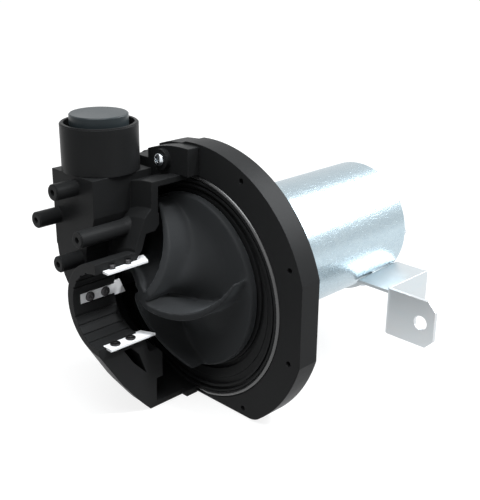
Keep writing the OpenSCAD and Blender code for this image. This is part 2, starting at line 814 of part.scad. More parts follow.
module brush_card() {
    z1 = commutator_r + brush_l + spring_l;
    color([0.42, 0.30, 0.20]) at_joint() difference() {
        union() {
            ring_y(can_in_r - slip, commutator_r + 2, card_y, card_y + card_t);
            for (s = [0, 180]) rotate([0, s, 0]) translate([-5, commutator_y + 1, commutator_r + 2])
                cube([10, card_y - commutator_y, z1 + 1.6 - commutator_r - 2]);
        }
        for (s = [0, 180]) rotate([0, s, 0]) brush_way(slip, commutator_r, z1);
        for (s = [-1, 1]) rod_y(bolt_r + slip, 0, far, s * bolt_x, 0);
    }
}

module brushes() {
    color([0.16, 0.16, 0.17]) at_joint() difference() {
        for (s = [0, 180]) rotate([0, s, 0]) brush_way(0, commutator_r - 1, commutator_r + brush_l);
        rod_y(commutator_r + slip, 0, far);
    }
}

module brush_springs() {
    y = commutator_y + commutator_l / 2;
    z0 = commutator_r + brush_l;
    color(zinc_steel) at_joint() for (s = [0, 180]) rotate([0, s, 0]) translate([0, y, z0]) difference() {
        cylinder(h = spring_l, r = 2.8);
        translate([0, 0, -1]) cylinder(h = spring_l + 2, r = 2.2);
    }
}

module rear_bush() {
    color([0.60, 0.45, 0.24]) at_joint() ring_y(bush_r, shaft_r + run, bush_y, bush_y + bush_l);
}

module through_bolts() {
    color(zinc_steel) at_joint() for (s = [-1, 1]) {
        rod_y(bolt_r, back_flange_t + 1.8, can_back + eps, s * bolt_x, 0);
        hex_y(1.9 * bolt_r, can_back, can_back + 1.5 * bolt_r, s * bolt_x, 0);
    }
}

grommet_r = 5;
grommet_z = can_in_r - grommet_r - 4;
module lead_grommet() {
    color(black_rubber) at_joint() difference() {
        union() {
            rod_y(grommet_r - fit, can_back - can_floor, can_back, 0, grommet_z);
            rod_y(grommet_r + 1.8, can_back, can_back + 2.4, 0, grommet_z);
            rod_y(grommet_r + 1.4, can_back - can_floor - 1.6, can_back - can_floor, 0, grommet_z);
        }
        rod_y(2, 0, far, 0, grommet_z);
    }
}

// Plan of the web and the foot, as a band of even thickness with a rounded fold
module bracket_plan() {
    y0 = can_back - bracket_l;
    x0 = bracket_x;
    x1 = bracket_x + bracket_t;
    y1 = y0 + bracket_t;
    r = bracket_bend;
    polygon(concat(
        [[x0, can_back]],
        sweep(x0 + r + bracket_t, y0 + r + bracket_t, r + bracket_t, r + bracket_t, 180, 270, 6),
        [[x1 + bracket_foot, y0], [x1 + bracket_foot, y1]],
        sweep(x1 + r, y1 + r, r, r, 270, 180, 6),
        [[x1, can_back]]
    ));
}

module mounting_bracket() {
    y0 = can_back - bracket_l;
    end_x = bracket_x + bracket_t + bracket_foot;
    color(bright_steel) at_joint() {
        difference() {
            translate([0, 0, bracket_top - bracket_h]) linear_extrude(bracket_h) bracket_plan();
            for (z = [bracket_top, bracket_top - bracket_h]) translate([end_x, 0, z]) rotate([0, 45, 0])
                cube([bracket_corner * sqrt(2), 4 * far, bracket_corner * sqrt(2)], center = true);
            rod_y(bracket_hole_r, 0, y0 + bracket_t + 1, end_x - 9.5, bracket_top - bracket_h / 2);
        }
        // Shelf from the can out to the web, dipping towards the front
        difference() {
            translate([can_r / 2, 0, 0]) rotate([90, 0, 90]) linear_extrude(bracket_x + bracket_t / 2 - can_r / 2)
                polygon([
                    [y0 + bracket_t + 1, bracket_top - 0.3 - bracket_dip], [can_back - 0.4, bracket_top - 0.3],
                    [can_back - 0.4, bracket_top - bracket_t], [y0 + bracket_t + 1, bracket_top - bracket_dip - bracket_t]
                ]);
            rod_y(can_r + 0.8, 0, far);
        }
        // Saddle that hugs the can under the shelf
        difference() {
            spin_y(start = saddle_start, turn = saddle_turn)
                translate([can_r + fit, can_back - saddle_l]) square([bracket_t, saddle_l - 0.8]);
            for (a = bracket_screw_angles) bracket_screw_line(a) cylinder(h = far, r = screw_r + slip);
        }
    }
}

// A line straight out from the shaft, under the can, with Z along it
module bracket_screw_line(a) {
    translate([0, bracket_screw_y, 0]) rotate([0, 90 + a, 0]) children();
}

module bracket_screws() {
    seat = can_r + bracket_t + fit;
    color(zinc_steel) at_joint() for (a = bracket_screw_angles) bracket_screw_line(a) {
        translate([0, 0, can_in_r + 0.3]) cylinder(h = seat - can_in_r, r = screw_r);
        translate([0, 0, seat]) cylinder(h = 2, r = 1.8 * screw_r);
    }
}

back_flange();
front_housing();
discharge_spigot();
outlet_plug();
shear_blade_top();
shear_blade_side();
shear_blade_bottom();
blade_screws();
housing_screws();
housing_seal();
impeller();
impeller_pin();
seal_spring();
seal_ring();
seal_seat();
shaft();
front_bearing();
motor_end_plate();
motor_screws();
motor_can();
magnet_upper();
magnet_lower();
armature_core();
armature_winding();
commutator();
brush_card();
brushes();
brush_springs();
rear_bush();
through_bolts();
lead_grommet();
mounting_bracket();
bracket_screws();
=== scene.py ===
import json
import math
import bpy
import bmesh
import numpy as np
from mathutils import Matrix, Vector


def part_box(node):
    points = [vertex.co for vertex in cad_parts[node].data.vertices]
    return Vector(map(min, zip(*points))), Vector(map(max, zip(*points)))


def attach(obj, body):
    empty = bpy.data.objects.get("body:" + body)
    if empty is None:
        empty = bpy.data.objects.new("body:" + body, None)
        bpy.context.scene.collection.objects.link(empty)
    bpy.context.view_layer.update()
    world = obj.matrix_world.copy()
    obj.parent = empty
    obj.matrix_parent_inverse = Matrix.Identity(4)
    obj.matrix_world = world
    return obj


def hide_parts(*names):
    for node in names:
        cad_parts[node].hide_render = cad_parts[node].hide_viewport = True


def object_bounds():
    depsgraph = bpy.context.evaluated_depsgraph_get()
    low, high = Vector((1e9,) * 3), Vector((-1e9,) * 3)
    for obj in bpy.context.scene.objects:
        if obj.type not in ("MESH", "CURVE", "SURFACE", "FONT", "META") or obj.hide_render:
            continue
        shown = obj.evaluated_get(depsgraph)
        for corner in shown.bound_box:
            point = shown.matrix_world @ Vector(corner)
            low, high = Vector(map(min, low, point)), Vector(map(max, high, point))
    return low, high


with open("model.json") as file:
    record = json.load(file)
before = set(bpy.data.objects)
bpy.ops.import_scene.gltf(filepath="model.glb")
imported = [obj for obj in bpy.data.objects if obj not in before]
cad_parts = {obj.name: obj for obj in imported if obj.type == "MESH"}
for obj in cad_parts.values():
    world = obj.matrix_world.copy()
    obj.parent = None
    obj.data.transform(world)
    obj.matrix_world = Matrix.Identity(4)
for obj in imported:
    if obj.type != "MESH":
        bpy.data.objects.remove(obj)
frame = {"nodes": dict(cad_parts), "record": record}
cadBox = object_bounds()
nodes = frame["nodes"]
record = frame["record"]
bodyOf = {n: body for body, names in record["behaviour"]["bodies"].items() for n in names}
slotOf = {part["node"]: part["material_slot"] for part in record["subparts"]}
print("frame loaded,", len(nodes), "nodes")


# Shader helpers

def newMaterial(name):
    material = bpy.data.materials.new(name)
    material.use_nodes = True
    tree = material.node_tree
    shader = tree.nodes["Principled BSDF"]
    return material, tree, shader


def place(tree, kind, **settings):
    node = tree.nodes.new(kind)
    for key, value in settings.items():
        setattr(node, key, value)
    return node


def feed(tree, socket, value):
    if isinstance(value, bpy.types.NodeSocket):
        tree.links.new(value, socket)
    elif isinstance(value, (tuple, list)) and len(value) == 3 and socket.type == "RGBA":
        socket.default_value = (*value, 1)
    else:
        socket.default_value = value


def sums(tree, operation, *values, clamp=False):
    node = place(tree, "ShaderNodeMath", operation=operation, use_clamp=clamp)
    for socket, value in zip(node.inputs, values):
        feed(tree, socket, value)
    return node.outputs[0]


def blendColours(tree, amount, first, second):
    node = place(tree, "ShaderNodeMix", data_type="RGBA", blend_type="MIX")
    feed(tree, node.inputs[0], amount)
    feed(tree, node.inputs[6], first)
    feed(tree, node.inputs[7], second)
    return node.outputs[2]


def spread(tree, value, low, high, fromLow, fromHigh):
    node = place(tree, "ShaderNodeMapRange")
    for label, number in (("Value", value), ("From Min", fromLow), ("From Max", fromHigh),
                          ("To Min", low), ("To Max", high)):
        feed(tree, node.inputs[label], number)
    return node.outputs[0]


def noise(tree, vector, scale, detail, rough):
    node = place(tree, "ShaderNodeTexNoise")
    feed(tree, node.inputs["Vector"], vector)
    for label, number in (("Scale", scale), ("Detail", detail), ("Roughness", rough)):
        feed(tree, node.inputs[label], number)
    return node.outputs[0]


def objectPoint(tree, scale=(1, 1, 1)):
    coords = place(tree, "ShaderNodeTexCoord")
    mapping = place(tree, "ShaderNodeMapping")
    mapping.inputs["Scale"].default_value = scale
    tree.links.new(coords.outputs["Object"], mapping.inputs["Vector"])
    return mapping.outputs["Vector"]


def newGroup(name, inputs, outputs):
    group = bpy.data.node_groups.new(name, "ShaderNodeTree")
    for kind, label, value in inputs:
        socket = group.interface.new_socket(name=label, in_out="INPUT", socket_type="NodeSocket" + kind)
        if value is not None:
            socket.default_value = value
    for kind, label in outputs:
        group.interface.new_socket(name=label, in_out="OUTPUT", socket_type="NodeSocket" + kind)
    return group, place(group, "NodeGroupInput").outputs, place(group, "NodeGroupOutput").inputs


def use(tree, group, **values):
    node = place(tree, "ShaderNodeGroup", node_tree=group)
    for label, value in values.items():
        feed(tree, node.inputs[label], value)
    return node.outputs


# Rounded look of moulded and cut edges, and a mask of where they are
def makeSoftEdges():
    group, given, out = newGroup("softEdges", [("Float", "Radius", 0.0005), ("Float", "Gain", 3.0)],
                                 [("Vector", "Normal"), ("Float", "Edge")])
    bevel = place(group, "ShaderNodeBevel", samples=5)
    feed(group, bevel.inputs["Radius"], given["Radius"])
    shape = place(group, "ShaderNodeNewGeometry")
    dot = place(group, "ShaderNodeVectorMath", operation="DOT_PRODUCT")
    feed(group, dot.inputs[0], bevel.outputs[0])
    feed(group, dot.inputs[1], shape.outputs["Normal"])
    away = sums(group, "SUBTRACT", 1.0, dot.outputs["Value"])
    feed(group, out["Edge"], sums(group, "MULTIPLY", away, given["Gain"], clamp=True))
    feed(group, out["Normal"], bevel.outputs[0])
    return group


# Fine skin of a moulding, with slow patches of more and less gloss
def makeMouldSkin():
    group, given, out = newGroup("mouldSkin", [("Vector", "Point", None), ("Float", "Grain", 2600.0),
                                               ("Float", "Patch", 45.0)],
                                 [("Float", "Height"), ("Float", "Patches")])
    feed(group, out["Height"], noise(group, given["Point"], given["Grain"], detail=3.0, rough=0.6))
    feed(group, out["Patches"], noise(group, given["Point"], given["Patch"], detail=4.0, rough=0.55))
    return group


# Long fine lines left by rolling, grinding or turning
def makeBrushLines():
    streakShare = 0.16
    group, given, out = newGroup("brushLines", [("Vector", "Point", None), ("Float", "Lines", 900.0)],
                                 [("Float", "Height"), ("Float", "Streaks")])
    feed(group, out["Height"], noise(group, given["Point"], given["Lines"], detail=2.0, rough=0.7))
    wide = sums(group, "MULTIPLY", given["Lines"], streakShare)
    feed(group, out["Streaks"], noise(group, given["Point"], wide, detail=3.0, rough=0.6))
    return group


# Crystals of a zinc coat: a tone for each, their steps and a fine grit
def makeSpangle():
    gritFinerBy, stepHeight = 2.2, 0.6
    group, given, out = newGroup("spangle", [("Vector", "Point", None), ("Float", "Crystals", 420.0)],
                                 [("Float", "Tone"), ("Float", "Grit"), ("Float", "Height")])
    cells = place(group, "ShaderNodeTexVoronoi", feature="F1")
    feed(group, cells.inputs["Vector"], given["Point"])
    feed(group, cells.inputs["Scale"], given["Crystals"])
    split = place(group, "ShaderNodeSeparateColor")
    feed(group, split.inputs[0], cells.outputs["Color"])
    feed(group, out["Tone"], split.outputs[0])
    fine = sums(group, "MULTIPLY", given["Crystals"], gritFinerBy)
    grit = noise(group, given["Point"], fine, detail=3.0, rough=0.7)
    feed(group, out["Grit"], grit)
    steps = sums(group, "MULTIPLY", split.outputs[1], stepHeight)
    feed(group, out["Height"], sums(group, "ADD", grit, steps))
    return group


softEdges = makeSoftEdges()
mouldSkin = makeMouldSkin()
brushLines = makeBrushLines()
spangle = makeSpangle()


def bumpFrom(tree, shader, height, depth, normal):
    bump = place(tree, "ShaderNodeBump")
    bump.inputs["Strength"].default_value = 1.0
    bump.inputs["Distance"].default_value = depth
    feed(tree, bump.inputs["Height"], height)
    feed(tree, bump.inputs["Normal"], normal)
    feed(tree, shader.inputs["Normal"], bump.outputs[0])


# Roughness between a look's two values, by the middle part of a mask
def feedRoughness(tree, shader, look, mask):
    rough = spread(tree, mask, *look["rough"], fromLow=0.3, fromHigh=0.7)
    feed(tree, shader.inputs["Roughness"], rough)


# Moulded and cast pieces: plastic, rubber, ferrite, carbon, ceramic and cast metal
def moulded(name, look):
    material, tree, shader = newMaterial(name)
    skin = use(tree, mouldSkin, Point=objectPoint(tree), Grain=look["grain"])
    edges = use(tree, softEdges, Radius=look["edge"])
    colour = blendColours(tree, skin["Patches"], look["colour"], look["other"])
    worn = sums(tree, "MULTIPLY", edges["Edge"], skin["Patches"])
    feed(tree, shader.inputs["Base Color"], blendColours(tree, worn, colour, look["worn"]))
    feedRoughness(tree, shader, look, skin["Patches"])
    fixed = {"Specular IOR Level": look["gloss"], "Metallic": look.get("metal", 0.0)}
    if "sheen" in look:
        fixed |= {"Sheen Weight": look["sheen"], "Sheen Roughness": 0.45,
                  "Sheen Tint": (0.86, 0.94, 1.0, 1)}
    if "coat" in look:
        fixed |= {"Coat Weight": look["coat"], "Coat Roughness": 0.12}
    for label, value in fixed.items():
        shader.inputs[label].default_value = value
    bumpFrom(tree, shader, skin["Height"], look["depth"], edges["Normal"])
    return material


# Sheet and bar metal with lines along one direction
def drawn(name, look):
    material, tree, shader = newMaterial(name)
    lines = use(tree, brushLines, Point=objectPoint(tree, look["along"]), Lines=look["lines"])
    edges = use(tree, softEdges, Radius=look["edge"])
    colour = blendColours(tree, lines["Streaks"], look["colour"], look["other"])
    feed(tree, shader.inputs["Base Color"], blendColours(tree, edges["Edge"], colour, look["worn"]))
    feedRoughness(tree, shader, look, lines["Streaks"])
    shader.inputs["Metallic"].default_value = look["metal"]
    bumpFrom(tree, shader, lines["Height"], look["depth"], edges["Normal"])
    return material


# Zinc coat with crystals, clouds along the sheet and rub marks across it
def coated(name, look):
    material, tree, shader = newMaterial(name)
    zinc = use(tree, spangle, Point=objectPoint(tree, look["along"]), Crystals=look["crystals"])
    lines = use(tree, brushLines, Point=objectPoint(tree, look["streak"]), Lines=look["lines"])
    rubbed = use(tree, brushLines, Point=objectPoint(tree, look["rub"]), Lines=look["rubLines"])
    edges = use(tree, softEdges, Radius=look["edge"])
    colour = blendColours(tree, zinc["Tone"], look["colour"], look["other"])
    cloud = sums(tree, "MULTIPLY", lines["Streaks"], look["cloud"], clamp=True)
    colour = blendColours(tree, cloud, colour, look["tint"])
    feed(tree, shader.inputs["Base Color"], blendColours(tree, edges["Edge"], colour, look["worn"]))
    feedRoughness(tree, shader, look, zinc["Grit"])
    shader.inputs["Metallic"].default_value = look["metal"]
    rubs = sums(tree, "MULTIPLY", rubbed["Height"], look["rubDepth"])
    bumpFrom(tree, shader, sums(tree, "ADD", zinc["Height"], rubs), look["depth"], edges["Normal"])
    return material


# Fine parallel layers, such as laminations or wound wire
def layered(name, look):
    material, tree, shader = newMaterial(name)
    bands = place(tree, "ShaderNodeTexWave", wave_type="BANDS", bands_direction=look["axis"])
    feed(tree, bands.inputs["Vector"], objectPoint(tree))
    bands.inputs["Scale"].default_value = look["layers"]
    bands.inputs["Distortion"].default_value = look["waver"]
    skin = use(tree, mouldSkin, Point=objectPoint(tree), Patch=look["patch"])
    edges = use(tree, softEdges, Radius=look["edge"])
    colour = blendColours(tree, bands.outputs["Fac"], look["other"], look["colour"])
    feed(tree, shader.inputs["Base Color"], blendColours(tree, edges["Edge"], colour, look["worn"]))
    feedRoughness(tree, shader, look, skin["Patches"])
    shader.inputs["Metallic"].default_value = look["metal"]
    bumpFrom(tree, shader, bands.outputs["Fac"], look["depth"], edges["Normal"])
    return material


looks = {
    "housing_plastic": (moulded, {
        "colour": (0.0130, 0.0134, 0.0138), "other": (0.0170, 0.0175, 0.0180), "worn": (0.026, 0.027, 0.028),
        "rough": (0.36, 0.44), "gloss": 0.06, "grain": 1900.0, "depth": 0.00003, "edge": 0.0006}),
    "plug_plastic": (moulded, {
        "colour": (0.0230, 0.0300, 0.0335), "other": (0.0270, 0.0350, 0.0385), "worn": (0.040, 0.044, 0.048),
        "rough": (0.30, 0.38), "gloss": 0.16, "grain": 2600.0, "depth": 0.000010, "edge": 0.0006}),
    "impeller_plastic": (moulded, {
        "colour": (0.0250, 0.0262, 0.0276), "other": (0.0304, 0.0318, 0.0333), "worn": (0.028, 0.029, 0.031),
        "rough": (0.46, 0.54), "gloss": 0.05, "sheen": 0.10, "grain": 2400.0, "depth": 0.000010,
        "edge": 0.0002}),
    "seal_rubber": (moulded, {
        "colour": (0.030, 0.030, 0.031), "other": (0.036, 0.036, 0.037), "worn": (0.036, 0.036, 0.036),
        "rough": (0.22, 0.28), "gloss": 0.6, "coat": 0.4, "grain": 3000.0, "depth": 0.000008,
        "edge": 0.0003}),
    "ferrite": (moulded, {
        "colour": (0.040, 0.040, 0.045), "other": (0.055, 0.054, 0.058), "worn": (0.09, 0.09, 0.09),
        "rough": (0.62, 0.75), "gloss": 0.4, "grain": 2000.0, "depth": 0.00003, "edge": 0.0005}),
    "carbon": (moulded, {
        "colour": (0.020, 0.020, 0.022), "other": (0.030, 0.030, 0.032), "worn": (0.06, 0.06, 0.06),
        "rough": (0.42, 0.55), "gloss": 0.4, "grain": 2600.0, "depth": 0.00002, "edge": 0.0003}),
    "ceramic": (moulded, {
        "colour": (0.70, 0.68, 0.62), "other": (0.74, 0.72, 0.67), "worn": (0.78, 0.76, 0.72),
        "rough": (0.16, 0.24), "gloss": 0.5, "grain": 2600.0, "depth": 0.000006, "edge": 0.0003}),
    "card_board": (moulded, {
        "colour": (0.16, 0.08, 0.035), "other": (0.20, 0.10, 0.045), "worn": (0.26, 0.15, 0.08),
        "rough": (0.45, 0.58), "gloss": 0.4, "grain": 1600.0, "depth": 0.00002, "edge": 0.0003}),
    "blade_steel": (drawn, {
        "colour": (0.94, 0.95, 0.96), "other": (0.90, 0.91, 0.93), "worn": (0.96, 0.96, 0.96),
        "rough": (0.26, 0.36), "metal": 0.0, "along": (1.0, 0.06, 1.0), "lines": 1500.0,
        "depth": 0.000004, "edge": 0.00012}),
    "dark_steel": (drawn, {
        "colour": (0.035, 0.034, 0.036), "other": (0.060, 0.058, 0.060), "worn": (0.16, 0.16, 0.16),
        "rough": (0.38, 0.50), "metal": 1.0, "along": (1.0, 1.0, 1.0), "lines": 1500.0,
        "depth": 0.000008, "edge": 0.0003}),
    "zinc_steel": (drawn, {
        "colour": (0.66, 0.69, 0.72), "other": (0.52, 0.56, 0.60), "worn": (0.82, 0.84, 0.86),
        "rough": (0.20, 0.32), "metal": 1.0, "along": (1.0, 1.0, 1.0), "lines": 1300.0,
        "depth": 0.000006, "edge": 0.0003}),
    "bright_steel": (drawn, {
        "colour": (0.68, 0.69, 0.70), "other": (0.58, 0.59, 0.60), "worn": (0.80, 0.80, 0.80),
        "rough": (0.16, 0.26), "metal": 1.0, "along": (0.2, 2.0, 0.2), "lines": 1400.0,
        "depth": 0.000004, "edge": 0.0003}),
    "bracket_steel": (drawn, {
        "colour": (0.54, 0.610, 0.640), "other": (0.64, 0.630, 0.635), "worn": (0.92, 0.90, 0.90),
        "rough": (0.40, 0.48), "metal": 1.0, "along": (0.35, 0.35, 1.0), "lines": 520.0,
        "depth": 0.000008, "edge": 0.0004}),
    "cast_aluminium": (moulded, {
        "colour": (0.50, 0.51, 0.52), "other": (0.60, 0.61, 0.62), "worn": (0.75, 0.75, 0.75),
        "rough": (0.42, 0.55), "gloss": 0.6, "metal": 1.0, "grain": 1400.0, "depth": 0.00003,
        "edge": 0.0005}),
    "can_zinc": (coated, {
        "colour": (0.43, 0.52, 0.57), "other": (0.49, 0.58, 0.62), "tint": (0.37, 0.47, 0.53),
        "worn": (0.86, 0.88, 0.90), "rough": (0.24, 0.33), "metal": 1.0, "along": (1.0, 0.5, 1.0),
        "streak": (1.0, 0.10, 1.0), "crystals": 620.0, "lines": 300.0, "cloud": 0.8,
        "rub": (0.12, 1.0, 0.12), "rubLines": 950.0, "rubDepth": 0.5, "depth": 0.00004, "edge": 0.0005}),
    "core_steel": (layered, {
        "colour": (0.26, 0.27, 0.28), "other": (0.10, 0.10, 0.11), "worn": (0.34, 0.35, 0.36),
        "rough": (0.34, 0.46), "metal": 1.0, "axis": "Y", "layers": 310.0, "waver": 0.0, "patch": 70.0,
        "depth": 0.00006, "edge": 0.0003}),
    "winding_copper": (layered, {
        "colour": (0.52, 0.20, 0.07), "other": (0.24, 0.08, 0.03), "worn": (0.56, 0.24, 0.10),
        "rough": (0.24, 0.36), "metal": 1.0, "axis": "DIAGONAL", "layers": 240.0, "waver": 1.5,
        "patch": 70.0, "depth": 0.0002, "edge": 0.0003}),
    "commutator_copper": (drawn, {
        "colour": (0.62, 0.29, 0.14), "other": (0.48, 0.22, 0.11), "worn": (0.72, 0.42, 0.26),
        "rough": (0.22, 0.34), "metal": 1.0, "along": (0.2, 2.0, 0.2), "lines": 1400.0,
        "depth": 0.000008, "edge": 0.0003}),
    "bush_bronze": (moulded, {
        "colour": (0.40, 0.24, 0.11), "other": (0.50, 0.32, 0.16), "worn": (0.60, 0.42, 0.24),
        "rough": (0.34, 0.46), "gloss": 0.6, "metal": 1.0, "grain": 1800.0, "depth": 0.00003,
        "edge": 0.0003}),
}
finishes = {slot: maker(slot, look) for slot, (maker, look) in looks.items()}

for name, node in nodes.items():
    for holder in node.material_slots:
        holder.material = finishes[slotOf[name]]
print("materials made,", len(finishes))


# Mesh helpers

def looseObject(name, data):
    loose = bpy.data.objects.new(name, data)
    bpy.context.collection.objects.link(loose)
    return loose


# A finished piece that stands for a node, with the node's body and slot
def showPiece(name, mesh, node):
    piece = looseObject(name, mesh)
    body, slot = bodyOf[node], slotOf[node]
    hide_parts(node)
    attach(piece, body)
    if not mesh.materials:
        mesh.materials.append(finishes[slot])
    return piece


def mergedCopy(name, near=1e-6):
    shape = bmesh.new()
    shape.from_mesh(nodes[name].data)
    bmesh.ops.remove_doubles(shape, verts=shape.verts, dist=near)
    return shape


# The boxes of a node's separate solids, in a fixed order
def looseParts(name):
    shape = mergedCopy(name)
    left, boxes = set(shape.verts), []
    while left:
        start = left.pop()
        heap, found = [start], [start.co.copy()]
        while heap:
            for edge in heap.pop().link_edges:
                for vert in edge.verts:
                    if vert in left:
                        left.discard(vert)
                        heap.append(vert)
                        found.append(vert.co.copy())
        low = Vector(min(p[i] for p in found) for i in range(3))
        high = Vector(max(p[i] for p in found) for i in range(3))
        boxes.append((low, high))
    shape.free()
    return sorted(boxes, key=lambda b: tuple(round(v, 5) for v in b[0]))


# Turns an object with modifiers into its finished mesh
def bakeModifiers(draft):
    graph = bpy.context.evaluated_depsgraph_get()
    mesh = bpy.data.meshes.new_from_object(draft.evaluated_get(graph))
    draft.modifiers.clear()
    unfinished = draft.data
    bpy.data.objects.remove(draft)
    bpy.data.meshes.remove(unfinished)
    return mesh


def plainMesh(shape, name):
    mesh = bpy.data.meshes.new(name)
    shape.to_mesh(mesh)
    shape.free()
    return mesh


def shadeWithEdges(mesh, sharp=35):
    mesh.shade_smooth()
    mesh.set_sharp_from_angle(angle=math.radians(sharp))
    return mesh


def meshFrom(shape, name, sharp=35):
    return shadeWithEdges(plainMesh(shape, name), sharp)


def readValues(items, key, width, kind=float):
    values = np.empty(len(items) * width, dtype=kind)
    items.foreach_get(key, values)
    return values.reshape(-1, width)


# The impeller with its edges rounded and its shallow hollows filled
def makeImpeller():
    wheel = {"voxel": 0.0007, "roundPasses": 1, "settlePasses": 1, "roundShare": 0.5,
             "fillPasses": 40, "fillShare": 0.7, "fillReach": 0.0020,
             "sharpCrease": 0.16, "spareRings": 3, "spareGain": 3}
    draft = looseObject("impellerDraft", plainMesh(mergedCopy("impeller"), "impellerDraft"))
    remesh = draft.modifiers.new("skin", "REMESH")
    remesh.mode = "VOXEL"
    remesh.voxel_size = wheel["voxel"]
    remesh.use_smooth_shade = True
    mesh = bakeModifiers(draft)
    points = readValues(mesh.vertices, "co", 3)
    pairs = readValues(mesh.edges, "vertices", 2, np.int64)
    count = len(points)
    ends, others = np.concatenate((pairs, pairs[:, ::-1])).T
    degree = np.bincount(ends, minlength=count)[:, None]

    def around(values):
        near = [np.bincount(ends, column[others], count) for column in values.T]
        return np.stack(near, 1) / degree

    def rounded(points, passes):
        for step in range(passes):
            points = points + wheel["roundShare"] * (around(points) - points)
        return points

    def along(moves, normals):
        return (moves * normals).sum(1, keepdims=True)

    points = rounded(points, wheel["roundPasses"])
    mesh.vertices.foreach_set("co", points.ravel())
    mesh.update()
    normals = readValues(mesh.vertices, "normal", 3)
    # A mask round sharp creases keeps the roots of the vanes crisp
    hollow = along(around(points) - points, normals)
    sharp = (hollow > wheel["sharpCrease"] * wheel["voxel"]).astype(float)
    for step in range(wheel["spareRings"]):
        sharp = np.minimum(1, wheel["spareGain"] * around(sharp))
    # Shallow hollows fill up outwards only, and no further than their reach
    start = points.copy()
    for step in range(wheel["fillPasses"]):
        hollow = along(around(points) - points, normals)
        points += wheel["fillShare"] * (1 - sharp) * np.maximum(hollow, 0) * normals
        gone = along(points - start, normals)
        points -= np.maximum(gone - wheel["fillReach"], 0) * normals
    points = rounded(points, wheel["settlePasses"])
    mesh.vertices.foreach_set("co", points.ravel())
    mesh.update()
    return showPiece("impellerWheel", mesh, "impeller")


impeller = makeImpeller()
print("impeller made,", len(impeller.data.polygons), "faces")


# Round shapes from a profile of (radius, height) pairs, the top first
def turnedShape(profile, sides):
    onAxis = 1e-7
    shape = bmesh.new()
    rings = []
    for radius, height in profile:
        steps = 1 if radius < onAxis else sides
        angles = [math.tau * i / steps for i in range(steps)]
        rings.append([shape.verts.new((radius * math.cos(a), radius * math.sin(a), height)) for a in angles])
    for upper, lower in zip(rings, rings[1:]):
        for i in range(sides):
            j = (i + 1) % sides
            corners = (upper[i % len(upper)], upper[j % len(upper)],
                       lower[j % len(lower)], lower[i % len(lower)])
            shape.faces.new(list(dict.fromkeys(corners)))
    bmesh.ops.recalc_face_normals(shape, faces=shape.faces)
    return shape


# Cuts the cutters out of the blank and gives back the finished mesh
def carve(blank, cutters):
    draft = looseObject("carveDraft", blank)
    tools = [looseObject("carveTool", cutter) for cutter in cutters]
    for tool in tools:
        cut = draft.modifiers.new("cut", "BOOLEAN")
        cut.operation, cut.solver, cut.object = "DIFFERENCE", "EXACT", tool
    mesh = bakeModifiers(draft)
    for tool in tools:
        bpy.data.objects.remove(tool)
    return shadeWithEdges(mesh)


# A wedge that narrows downwards: one bar of a cross recess
def recessBar(head, turn):
    bar = {"widthShare": 0.42, "floorShare": 0.55, "mouthShare": 1.15, "above": 0.001}
    length, width = head["key"] * 2, head["key"] * bar["widthShare"]
    floor, mouth = head["high"] - head["sunk"], head["high"] + bar["above"]
    c, s = math.cos(turn), math.sin(turn)
    corners = []
    for height, share in ((floor, bar["floorShare"]), (mouth, bar["mouthShare"])):
        for x, y in ((-1, -1), (1, -1), (1, 1), (-1, 1)):
            x, y = x * length * share / 2, y * width * share / 2
            corners.append((x * c - y * s, x * s + y * c, height))
    mesh = bpy.data.meshes.new("recessBar")
    sides = [(i, (i + 1) % 4, (i + 1) % 4 + 4, i + 4) for i in range(4)]
    mesh.from_pydata(corners, [], [(3, 2, 1, 0), (4, 5, 6, 7)] + sides)
    return mesh


def hexRecess(head):
    key, above = head["key"], 0.001
    mouth, floor = head["high"] + above, head["high"] - head["sunk"]
    return meshFrom(turnedShape([(0, mouth), (key, mouth), (key, floor), (0, floor)], 6), "hexTool")


# Outline of a round head, from its top to its underside at height 0
def headProfile(head):
    r, t = head["radius"], head["high"]
    if head["form"] == "dome":
        edge = {"dome": 0.70, "lip": 0.12, "draft": 0.97}
        angles = [math.radians(d) for d in (0, 12, 24, 36, 48, 60, 70, 80, 90)]
        dome = [(r * math.sin(a), t * (1 - edge["dome"] + edge["dome"] * math.cos(a))) for a in angles]
        return dome + [(r, t * edge["lip"]), (r * edge["draft"], 0)]
    edge = {"widest": 0.0004, "share": 0.3, "bend": 0.3, "foot": 0.4}
    lip = min(edge["widest"], t * edge["share"])
    bend, foot = lip * edge["bend"], lip * edge["foot"]
    return [(0, t), (r - lip, t), (r - bend, t - bend), (r, t - lip), (r, foot), (r - foot, 0)]


# Ridges of a thread as rings, down to the tip
def threadProfile(head):
    ridge = {"start": 0.0006, "deep": 0.25, "fall": 0.35, "floor": 0.5, "rise": 0.85,
             "tail": 1.2, "tip": 0.8}
    shank, pitch = head["shank"], head["pitch"]
    root = shank - ridge["deep"] * pitch
    rings, height = [], -ridge["start"]
    while height > -head["long"] + ridge["tail"] * pitch:
        rings += [(shank, height), (root, height - ridge["fall"] * pitch),
                  (root, height - ridge["floor"] * pitch), (shank, height - ridge["rise"] * pitch)]
        height -= pitch
    return rings + [(shank * ridge["tip"], -head["long"]), (0, -head["long"])]


def hexBolt(head, sides):
    cap = {"flat": 0.86, "bevel": 0.0006, "into": 0.0001, "sharp": 20, "sharpAll": 25}
    r, t, shank = head["radius"], head["high"], head["shank"]
    top = turnedShape([(0, t), (r * cap["flat"], t), (r, t - cap["bevel"]), (r, 0), (0, 0)], 6)
    rod = turnedShape([(0, cap["into"]), (shank, cap["into"])] + threadProfile(head), sides)
    both = bmesh.new()
    both.from_mesh(meshFrom(top, "hexHead", cap["sharp"]))
    both.from_mesh(meshFrom(rod, "boltRod"))
    return meshFrom(both, "boltMaster", cap["sharpAll"])


